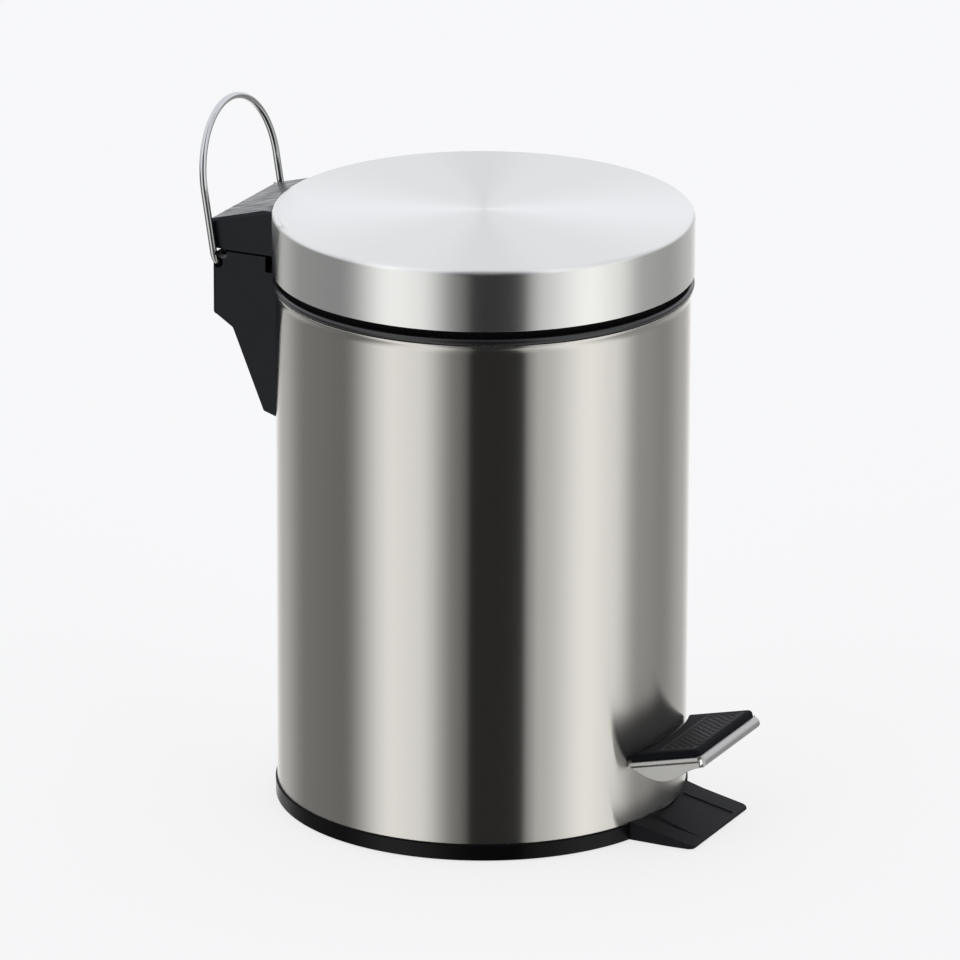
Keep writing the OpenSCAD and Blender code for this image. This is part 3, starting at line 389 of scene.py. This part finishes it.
def brushed_steel(name, color, roughness, line, wave, tone_low, tone_high):
    """Steel brushed in circles about Z: light smears across the brushing, whichever way a face looks.
    line is the width of a brushed line and wave the length over which a line changes, in metres."""
    material, tree, surface = new_material(name, color, roughness, metallic=1.0)
    surface.inputs["Anisotropic"].default_value = 1.0
    coords = add_node(tree, "ShaderNodeTexCoord")
    place = add_node(tree, "ShaderNodeSeparateXYZ")
    tree.links.new(coords.outputs["Object"], place.inputs[0])
    brushing = add_node(tree, "ShaderNodeCombineXYZ")
    tree.links.new(maths(tree, "MULTIPLY", place.outputs["Y"], -1.0), brushing.inputs["X"])
    tree.links.new(place.outputs["X"], brushing.inputs["Y"])
    in_world = add_node(tree, "ShaderNodeVectorTransform", vector_type="VECTOR",
                        convert_from="OBJECT", convert_to="WORLD")
    tree.links.new(brushing.outputs[0], in_world.inputs[0])
    sideways = add_node(tree, "ShaderNodeVectorMath", operation="CROSS_PRODUCT")
    tree.links.new(add_node(tree, "ShaderNodeNewGeometry").outputs["Normal"], sideways.inputs[0])
    tree.links.new(in_world.outputs[0], sideways.inputs[1])
    tangent = add_node(tree, "ShaderNodeVectorMath", operation="NORMALIZE")
    tree.links.new(sideways.outputs[0], tangent.inputs[0])
    tree.links.new(tangent.outputs[0], surface.inputs["Tangent"])
    # Brushed lines: a noise that is long round the axis and fine across it. The way round is a
    # circle in the noise, so the lines have no seam.
    angle = maths(tree, "ARCTAN2", place.outputs["Y"], place.outputs["X"])
    flat = add_node(tree, "ShaderNodeVectorMath", operation="MULTIPLY")
    flat.inputs[1].default_value = (1.0, 1.0, 0.0)
    tree.links.new(coords.outputs["Object"], flat.inputs[0])
    radius = add_node(tree, "ShaderNodeVectorMath", operation="LENGTH")
    tree.links.new(flat.outputs[0], radius.inputs[0])
    along_wall = maths(tree, "ADD", radius.outputs["Value"], place.outputs["Z"])
    depth = maths(tree, "MULTIPLY", along_wall, 1.0 / line)
    pattern_place = add_node(tree, "ShaderNodeCombineXYZ")
    for axis, turn in (("X", "COSINE"), ("Y", "SINE")):
        tree.links.new(maths(tree, "MULTIPLY", maths(tree, turn, angle), 0.06 / wave),
                       pattern_place.inputs[axis])
    tree.links.new(depth, pattern_place.inputs["Z"])
    lines = add_node(tree, "ShaderNodeTexNoise")
    lines.inputs["Scale"].default_value = 1.0
    lines.inputs["Detail"].default_value = 3.0
    lines.inputs["Roughness"].default_value = 0.65
    tree.links.new(pattern_place.outputs[0], lines.inputs["Vector"])
    tree.links.new(remap(tree, lines.outputs["Fac"], 0.3, 0.7, roughness * 0.99, roughness * 1.01,
                         soft=False), surface.inputs["Roughness"])
    shade = add_node(tree, "ShaderNodeVectorMath", operation="SCALE")
    shade.inputs[0].default_value = color
    tree.links.new(remap(tree, lines.outputs["Fac"], 0.3, 0.7, tone_low, tone_high, soft=False),
                   shade.inputs["Scale"])
    tree.links.new(shade.outputs[0], surface.inputs["Base Color"])
    return material


shell_low, shell_high = (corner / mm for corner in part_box("outer_shell"))
bead_r = shell_high.x
wall_r = bead_r - 0.8
wall_in = wall_r - 0.5
foot_z, top_z = shell_low.z, shell_high.z
slot_x = 10.8
slot_z = (22.5, 36.2)
rod_slot_x = (5.8, 10.2)
rod_slot_z = (181.0, 201.65)
body_steel = brushed_steel("body_brushed_steel", (0.585, 0.57, 0.53), 0.18, 0.00016, 0.02, 0.995, 1.005)
tube = turned([
    (wall_in, foot_z), (wall_r, foot_z), (wall_r, slot_z[0]), (wall_r, slot_z[1]),
    (wall_r, rod_slot_z[0]), (wall_r, rod_slot_z[1]), (wall_r, top_z - 2.6), (bead_r, top_z - 0.8),
    (bead_r, top_z), (wall_in, top_z),
    (wall_in, rod_slot_z[1]), (wall_in, rod_slot_z[0]), (wall_in, slot_z[1]), (wall_in, slot_z[0])],
    corners=[(1, 0.2, 2), (6, 1.2, 4), (7, 0.6, 3), (8, 0.25, 3)])
cut_window(tube, -1, -slot_x, slot_x, *slot_z)
cut_window(tube, 1, *rod_slot_x, *rod_slot_z)
piece("body_tube", tube, [body_steel], "body_steel", "root", "outer_shell")

# ---------------------------------------------------------------------------
# Rod guide. A plastic block inside the body that the push rod slides in, held by the
# lower housing's screws.
# ---------------------------------------------------------------------------
inner_black, tree, surface = new_material("inner_black", (0.018, 0.018, 0.019), 0.5)
fine_grain(tree, surface, 0.0008, 0.00003, 0.42, 0.58)
paint(inner_black, "rod_guide")

# ---------------------------------------------------------------------------
# Rim ring. Satin black plastic pushed into the body's top edge: a rounded lip on the steel,
# a neck under the lid, and a ledge inside that carries the bucket.
# ---------------------------------------------------------------------------
rim_low, rim_high = (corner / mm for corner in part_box("rim_ring"))
lip_r, skirt_z, neck_z = rim_high.x, rim_low.z, rim_high.z
neck_r = lip_r - 2.8
rim_black, tree, surface = new_material("rim_satin_black", (0.008, 0.008, 0.009), 0.26, specular=0.6)
fine_grain(tree, surface, 0.0015, 0.00001, 0.22, 0.30)
rim = turned([
    (78.2, top_z - 1.7), (neck_r - 1.2, top_z - 1.7), (neck_r - 1.2, skirt_z), (neck_r + 0.8, skirt_z),
    (neck_r + 0.8, top_z), (lip_r, top_z), (lip_r, top_z + 3.0), (neck_r, top_z + 3.0), (neck_r, neck_z),
    (neck_r - 2.0, neck_z), (neck_r - 2.0, top_z + 0.8), (78.2, top_z + 0.8)],
    corners=[(5, 1.45, 6), (6, 1.45, 6), (8, 0.5, 3), (9, 0.5, 3), (11, 0.6, 3)])
# Painted shade: the neck under the lid takes the dead black matt copy, for the shadow the lid casts there.
for face in rim.faces:
    if neck_r - 1.0 < face.calc_center_median().xy.length / mm < neck_r + 0.1:
        face.material_index = 1
piece("rim_moulding", rim, [rim_black, painted_shade_black], "rim_plastic", "root", "rim_ring")

# ---------------------------------------------------------------------------
# Pedal lever. One satin steel pressing: the pedal plate with its edges folded down, and the
# arm through the body to the pivot and the push rod.
# ---------------------------------------------------------------------------
pedal_slope = math.radians(13.5)
on_pedal = Matrix.Translation((0.0, -wall_r * mm, 35.2 * mm)) @ Matrix.Rotation(-pedal_slope, 4, "X")
off_pedal = on_pedal.inverted()
plate_x = 28.6


def pedal_place(co):
    """A point in millimetres along the pedal's own slope; y = 0 is the body's wall, z = 0 the plate's top."""
    return off_pedal @ (co * mm) / mm


pedal_steel, tree, surface = new_material("pedal_satin_steel", (0.46, 0.455, 0.435), 0.42, metallic=1.0)
fine_grain(tree, surface, 0.0004, 0.00001, 0.36, 0.48, stretch=(0.15, 1.0, 1.0))
lever = copied("pedal_lever")


def fold_edge(v):
    """Along the top of the plate's two side folds."""
    p = pedal_place(v)
    return abs(p.x) > plate_x - 0.05 and p.z > -0.05 and p.y < 5.0


def flange_edge(v):
    """The flanges' lower edges."""
    p = pedal_place(v)
    return abs(p.x) > plate_x - 1.6 and p.z < -0.5 and p.y < 5.0


rounded(lever, 0.6 * mm, 4, fold_edge)
rounded(lever, 0.3 * mm, 2, flange_edge)
for height in (-1.35, -1.6, -1.9, -2.4):
    bmesh.ops.bisect_plane(lever, geom=lever.verts[:] + lever.edges[:] + lever.faces[:], dist=1e-6,
                           plane_co=on_pedal @ Vector((0, 0, height * mm)),
                           plane_no=on_pedal.to_3x3() @ Vector((0, 0, 1)))
for v in lever.verts:
    p = pedal_place(v.co / mm)
    if abs(p.x) > plate_x - 0.5 and p.y < 5.0 and p.z < -1.4:
        v.co.x -= math.copysign((1.2 if p.z > -2.0 else 0.3) * mm, v.co.x)
piece("pedal_pressing", lever, [pedal_steel], "pedal_steel", "pedal", "pedal_lever", smooth=40.0)

# ---------------------------------------------------------------------------
# Pedal pad. Black rubber with a smooth border, a smooth strip at the body and a field of
# small diamond points; two studs hold it through the plate.
# ---------------------------------------------------------------------------
pad_rubber, tree, surface = new_material("pad_rubber", (0.0065, 0.007, 0.0085), 0.6, specular=0.05)
fine_grain(tree, surface, 0.0004, 0.00003, 0.54, 0.68)
field_rubber, tree, surface = new_material("pad_rubber_points", (0.0035, 0.004, 0.005), 0.30, specular=0.03)
fine_grain(tree, surface, 0.0004, 0.00003, 0.24, 0.38)
pad_x = 28.0
pad_top = 3.0
pad_front = -27.4
pad_gap = 86.2
pad_corner = 2.5
field_z = pad_top - 0.55
point_size = 1.7
cells_x, cells_y = 28, 10
field_x = cells_x / 2 * point_size
field_y = pad_front + 2.5


def pad_back(x, z):
    """Where the pad ends at the body, on the pedal's slope."""
    return (wall_r - math.sqrt(pad_gap ** 2 - x * x) - z * math.sin(pedal_slope)) / math.cos(pedal_slope)


def pad_loop(bm, inset, z):
    """The pad's outline at a height, moved in by inset."""
    x1, y0, r = pad_x - inset, pad_front + inset, max(pad_corner - inset, 0.8)
    points = [(x1 * (1 - 2 * i / 32), pad_back(x1 * (1 - 2 * i / 32), z) - inset) for i in range(33)]
    for side, first in ((-1, 180), (1, 270)):
        for i in range(7):
            a = math.radians(first + 15 * i)
            points.append((side * (x1 - r) + r * math.cos(a), y0 + r + r * math.sin(a)))
    return [bm.verts.new((x * mm, y * mm, z * mm)) for x, y in points]


def join_loops(bm, low, high):
    """A band of faces between two loops of as many points."""
    for i in range(len(low)):
        j = (i + 1) % len(low)
        bm.faces.new((low[i], low[j], high[j], high[i]))


def field_height(i, j):
    """The field's edge and every second point inside it stand at the pad's top, the rest lie low."""
    inside = 0 < i < cells_x and 0 < j < cells_y
    return field_z if inside and (i + j) % 2 else pad_top


pad = bmesh.new()
loops = [pad_loop(pad, inset, z) for inset, z in
         ((0.25, 0.0), (0.0, 0.25), (0.0, pad_top - 1.3), (0.25, pad_top - 0.75), (0.75, pad_top - 0.3),
          (1.3, pad_top - 0.08), (1.8, pad_top))]
pad.faces.new(list(reversed(loops[0])))
for low, high in zip(loops, loops[1:]):
    join_loops(pad, low, high)
columns = [-field_x + i * point_size for i in range(cells_x + 1)]
rows = [field_y + j * point_size for j in range(cells_y + 1)]
grid = [[pad.verts.new((x * mm, y * mm, field_height(i, j) * mm)) for i, x in enumerate(columns)]
        for j, y in enumerate(rows)]
for j in range(cells_y):
    for i in range(cells_x):
        a, b, c, d = grid[j][i], grid[j][i + 1], grid[j + 1][i + 1], grid[j + 1][i]
        for corners in (((a, b, d), (b, c, d)) if (i + j) % 2 == 0 else ((a, b, c), (a, c, d))):
            pad.faces.new(corners).material_index = 1
field_edge = grid[0][:-1] + [row[-1] for row in grid[:-1]] + grid[-1][:0:-1] + [row[0] for row in grid[:0:-1]]
border = [pad.edges.get(pair) or pad.edges.new(pair) for loop in (loops[-1], field_edge)
          for pair in zip(loop, loop[1:] + loop[:1])]
bmesh.ops.triangle_fill(pad, use_beauty=True, edges=border)
for side in (-1, 1):
    stud = bmesh.ops.create_cone(pad, cap_ends=True, segments=32, radius1=2.1 * mm, radius2=2.5 * mm,
                                 depth=3.2 * mm)
    bmesh.ops.translate(pad, verts=stud["verts"], vec=Vector((side * 14.0, -14.0, -1.4)) * mm)
bmesh.ops.recalc_face_normals(pad, faces=pad.faces)
bmesh.ops.transform(pad, matrix=on_pedal, verts=pad.verts)
piece("pedal_tread", pad, [pad_rubber, field_rubber], "pad_rubber", "pedal", "pedal_pad", smooth=50.0)

# ---------------------------------------------------------------------------
# Push rod. Bright steel wire: its foot lies in the lever's tabs, it steps out of the body
# behind the lower housing, and its hooked top lies in the lid's lift arm; a push-on clip at each end.
# ---------------------------------------------------------------------------


def bent(corners, bend, steps=10):
    """A path through straight runs with a round bend at each inner corner, in millimetres."""
    points = [corners[0]]
    for before, here, after in zip(corners, corners[1:], corners[2:]):
        a, b = (before - here).normalized(), (after - here).normalized()
        half = a.angle(b) / 2
        centre = here + (a + b).normalized() * bend / math.sin(half)
        start, end = here + a * bend / math.tan(half) - centre, here + b * bend / math.tan(half) - centre
        whole = start.angle(end)
        points += [centre + (start * math.sin(whole * (1 - i / steps)) + end * math.sin(whole * i / steps))
                   / math.sin(whole) for i in range(steps + 1)]
    return points + [corners[-1]]


def wire(points, radii, sides=24):
    """A round wire along a path in millimetres; radii is one radius, or one for each point."""
    if not isinstance(radii, list):
        first, last = (points[1] - points[0]).normalized(), (points[-1] - points[-2]).normalized()
        rim = 0.25 * radii
        points = [points[0], points[0] + first * rim] + points[1:-1] + [points[-1] - last * rim, points[-1]]
        radii = [radii - rim] + [radii] * (len(points) - 2) + [radii - rim]
    bm = bmesh.new()
    along = (points[1] - points[0]).normalized()
    side = along.orthogonal().normalized()
    loops = []
    for i, (point, radius) in enumerate(zip(points, radii)):
        ahead = (points[min(i + 1, len(points) - 1)] - points[max(i - 1, 0)]).normalized()
        side = (along.rotation_difference(ahead) @ side).normalized()
        along = ahead
        other = along.cross(side)
        loops.append([bm.verts.new((point + radius * (side * math.cos(a) + other * math.sin(a))) * mm)
                      for a in (2 * math.pi * k / sides for k in range(sides))])
    for low, high in zip(loops, loops[1:]):
        join_loops(bm, low, high)
    for loop in (loops[0], loops[-1]):
        bmesh.ops.contextual_create(bm, geom=loop)
    bmesh.ops.recalc_face_normals(bm, faces=bm.faces)
    return bm


rod_low, rod_high = (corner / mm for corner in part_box("push_rod"))
rod_x, rod_y0, rod_y1 = 8.0, rod_low.y + 1.5, rod_high.y - 1.5
rod_foot, rod_step, rod_top = rod_low.z + 1.5, rod_slot_z[0] + 2.2, rod_high.z - 1.5
rod = wire(bent([Vector((-6.4, rod_y0, rod_foot)), Vector((rod_x, rod_y0, rod_foot)),
                 Vector((rod_x, rod_y0, rod_step)), Vector((rod_x, rod_y1, rod_step)),
                 Vector((rod_x, rod_y1, rod_top)), Vector((-4.2, rod_y1, rod_top))], 3.0), 1.5, sides=20)
piece("push_rod_wire", rod, [pin_steel], "plated_wire", "rod", "push_rod")

# ---------------------------------------------------------------------------
# Lower housing. Finely textured black plastic screwed to the body from inside: it carries
# the hinge pin in two ears, and the carrying handle in a flared hole in each side.
# ---------------------------------------------------------------------------
housing_black, tree, surface = new_material("housing_textured_black", (0.0055, 0.0068, 0.0095), 0.34,
                                            specular=0.18)
fine_grain(tree, surface, 0.00055, 0.00005, 0.28, 0.42, detail=3.0)
bracket_low, bracket_high = (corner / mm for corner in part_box("hinge_bracket"))
house_x = bracket_high.x
house_y = bracket_high.y
foot_y, foot_up = 86.1, 1.7
knee_y, knee_up = 100.2, 35.7
shoulder_up = 41.7
housing = copied("hinge_bracket")


def bracket_skin(v):
    """The outer corners of the lower housing's sides and back."""
    up = v.z - bracket_low.z
    on_slant = abs((v.y - foot_y) * (knee_up - foot_up) - (up - foot_up) * (knee_y - foot_y)) < 8.0
    on_back = abs((v.y - knee_y) * (shoulder_up - knee_up) - (up - knee_up) * (house_y - knee_y)) < 8.0
    outside = up < 1.8 or on_slant or on_back
    return abs(v.x) > house_x - 0.05 and outside and up < 41.0


rounded(housing, 0.5 * mm, 3, bracket_skin, angle=30.0)
piece("lower_housing", housing, [housing_black], "housing_plastic", "root", "hinge_bracket")
paint(screw_zinc, "bracket_screws")
paint(pin_steel, "hinge_pin")

# ---------------------------------------------------------------------------
# Carrying handle. An arch of chromed wire that stands leaning back, with its two ends
# turned in through the lower housing's sides.
# ---------------------------------------------------------------------------
chrome, tree, surface = new_material("chrome_wire", (0.55, 0.56, 0.55), 0.07, metallic=1.0)
fine_grain(tree, surface, 0.004, 0.00001, 0.05, 0.10)
bail_pivot = Vector((0.0, wall_r + 21.9, 222.9))
bail_r, bail_bend, bail_leg = 32.0, 4.0, 26.1
lean_back = Matrix.Rotation(math.radians(-9.0), 4, "X")
side_run = bent([Vector((house_x - 4.5, 0, 0)), Vector((bail_r, 0, 0)),
                 Vector((bail_r, 0, bail_bend + bail_leg))], bail_bend, steps=12)
arch = [Vector((bail_r * math.cos(a), 0, bail_bend + bail_leg + bail_r * math.sin(a)))
        for a in (math.pi * i / 64 for i in range(65))]
path = side_run[:-1] + arch + [Vector((-p.x, p.y, p.z)) for p in reversed(side_run[:-1])]
handle_radii = [1.4 if p.z < bail_bend - 0.5 else 1.5 for p in path]
handle = wire([bail_pivot + lean_back @ p for p in path], handle_radii)
piece("handle_wire", handle, [chrome], "chrome_wire", "carry_handle", "carry_bail", smooth=50.0)

# ---------------------------------------------------------------------------
# Bucket. A tapered pail of grey-black plastic that hangs by its flange on the rim ring, with
# two lugs inside for its folded handle and a small boss round each of the handle's ends.
# ---------------------------------------------------------------------------
bucket_low, bucket_high = (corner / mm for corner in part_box("inner_bucket"))
bucket_black, tree, surface = new_material("bucket_plastic", (0.022, 0.022, 0.023), 0.36)
fine_grain(tree, surface, 0.006, 0.00004, 0.30, 0.44)
flange_r = bucket_high.x
flange_z = bucket_high.z
side_top, side_foot = 77.0, 69.0
hang_z = flange_z - 8.8
bucket = turned([
    (0.0, bucket_low.z), (side_foot, bucket_low.z), (side_top, flange_z - 1.8), (flange_r, flange_z - 1.8),
    (flange_r, flange_z), (side_top - 1.6, flange_z), (side_foot - 1.6, bucket_low.z + 1.6),
    (0.0, bucket_low.z + 1.6)],
    corners=[(1, 3.0, 6), (3, 0.5, 3), (4, 0.6, 3), (5, 1.2, 4), (6, 3.5, 6)])
for degrees in (-130, -50):
    lug = bmesh.ops.create_cube(bucket, size=1.0)
    bmesh.ops.bevel(bucket, geom=list({e for v in lug["verts"] for e in v.link_edges}), offset=0.12,
                    segments=2, affect="EDGES", profile=0.5, material=-1)
    made = [v for v in bucket.verts if v.co.length < 1.0 and v.co.length > 0.3]
    turn = Matrix.Rotation(math.radians(degrees), 4, "Z")
    at_wall = Matrix.Translation(Vector((72.9, 0, hang_z - 3.2)) * mm)
    bmesh.ops.transform(bucket, verts=made, matrix=turn @ at_wall
                        @ Matrix.Diagonal((6.8 * mm, 6.0 * mm, 3.0 * mm, 1.0)))
for side in (-1, 1):
    boss = bmesh.ops.create_cone(bucket, cap_ends=True, segments=32, radius1=2.8 * mm, radius2=3.4 * mm,
                                 depth=2.4 * mm)
    at_end = Matrix.Translation(Vector((side * 74.4, 0, hang_z)) * mm)
    bmesh.ops.transform(bucket, verts=boss["verts"],
                        matrix=at_end @ Matrix.Rotation(math.radians(90.0 * side), 4, "Y"))
piece("bucket_pail", bucket, [bucket_black], "bucket_plastic", "bucket", "inner_bucket")

# ---------------------------------------------------------------------------
# Bucket handle. A half ring of plated wire that lies folded on the bucket's lugs, its ends
# turned out through the wall, with a grooved plastic grip on its middle.
# ---------------------------------------------------------------------------
plated, tree, surface = new_material("plated_wire", (0.60, 0.60, 0.60), 0.2, metallic=1.0)
fine_grain(tree, surface, 0.003, 0.00001, 0.14, 0.28)
bow_r = 70.5
bow = [Vector((bow_r * math.cos(a), -bow_r * math.sin(a), 0))
       for a in (math.pi * i / 90 for i in range(3, 88))]
ends = bent([Vector((side_top + 0.7, 0, 0)), Vector((bow_r + 0.3, 0, 0)), bow[0]], 2.0, steps=8)
path = ends[:-1] + bow + [Vector((-p.x, p.y, p.z)) for p in reversed(ends[:-1])]
bow_wire = wire([p + Vector((0, 0, hang_z)) for p in path], 1.4, sides=20)
piece("bucket_bow", bow_wire, [plated], "plated_wire", "bucket_handle", "bucket_bail", smooth=50.0)

grip_black, tree, surface = new_material("grip_plastic", (0.016, 0.016, 0.017), 0.42)
fine_grain(tree, surface, 0.0007, 0.00003, 0.36, 0.5)
steps = 88
angles = [math.radians(-22.0 + 44.0 * i / steps) for i in range(steps + 1)]
grip_path = [Vector((bow_r * math.sin(a), -bow_r * math.cos(a), hang_z)) for a in angles]
grip_radii = [3.5 - (0.35 if 10 < i < steps - 10 and i % 8 in (3, 4) else 0.0)
              - max(0.0, 1.0 - min(i, steps - i) / 2.5) * 0.8 for i in range(steps + 1)]
grip = wire(grip_path, grip_radii, sides=28)
piece("bucket_grip_tube", grip, [grip_black], "grip_plastic", "bucket_handle", "bucket_grip", smooth=30.0)

# ---------------------------------------------------------------------------
# Lid. A pressed cap of the same thin steel, brushed in circles, with a rounded upper edge.
# The liner and the upper housing are fixed to it.
# ---------------------------------------------------------------------------
lid_low, lid_high = (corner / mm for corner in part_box("lid_shell"))
lid_r = lid_high.x
lid_steel = brushed_steel("lid_brushed_steel", (0.73, 0.735, 0.70), 0.27, 0.00018, 0.02, 0.998, 1.002)
cap = turned([
    (0.0, lid_high.z), (lid_r, lid_high.z), (lid_r, lid_low.z), (lid_r - 0.5, lid_low.z),
    (lid_r - 0.5, lid_high.z - 0.5), (0.0, lid_high.z - 0.5)],
    corners=[(1, 2.5, 10), (4, 2.0, 6), (2, 0.2, 2)])
piece("lid_cap", cap, [lid_steel], "lid_steel", "lid", "lid_shell")

# ---------------------------------------------------------------------------
# Lid liner. A black plastic cup inside the lid, with three tabs that carry rubber
# bumpers over the rim ring.
# ---------------------------------------------------------------------------
liner_black, tree, surface = new_material("liner_plastic", (0.016, 0.016, 0.017), 0.38)
fine_grain(tree, surface, 0.005, 0.00003, 0.32, 0.46)
paint(liner_black, "lid_liner")
paint(rubber, "lid_bumpers")

# ---------------------------------------------------------------------------
# Upper housing. A cap of the same textured plastic screwed to the back of the lid, with the
# hinge's barrels and the lift arm inside. It turns with the lid.
# ---------------------------------------------------------------------------
cover_low, cover_high = (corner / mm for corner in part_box("hinge_cover"))
cover = copied("hinge_cover")
# Painted sheen: a lighter, shinier copy of the housing's black plastic for the faces that look up near the
# top, standing in for the light the top catches.
painted_top_sheen, tree, surface = new_material("housing_top_painted_sheen", (0.010, 0.0112, 0.0135), 0.34, specular=0.4)
fine_grain(tree, surface, 0.0045, 0.00006, 0.16, 0.46, detail=4.0, stretch=(3.0, 0.35, 1.0))


def cover_skin(v):
    """The outer corners of the upper housing's top, back and sides."""
    top_line = cover_high.z - (v.y - lid_r) * 6.5 / (cover_high.y - 1.2 - lid_r)
    outside = abs(v.x) > house_x - 1.3 or v.z > top_line - 0.1 or v.y > cover_high.y - 0.05
    return outside and v.z > cover_low.z + 1.0 and v.y > lid_r + 0.4


rounded(cover, 0.55 * mm, 3, cover_skin, angle=18.0)
# Painted sheen: upward faces near the top take the lighter copy.
for face in cover.faces:
    if face.normal.z > 0.85 and face.calc_center_median().z / mm > cover_high.z - 9.0:
        face.material_index = 1
piece("upper_housing", cover, [housing_black, painted_top_sheen], "housing_plastic", "lid", "hinge_cover")
paint(screw_zinc, "cover_screws")
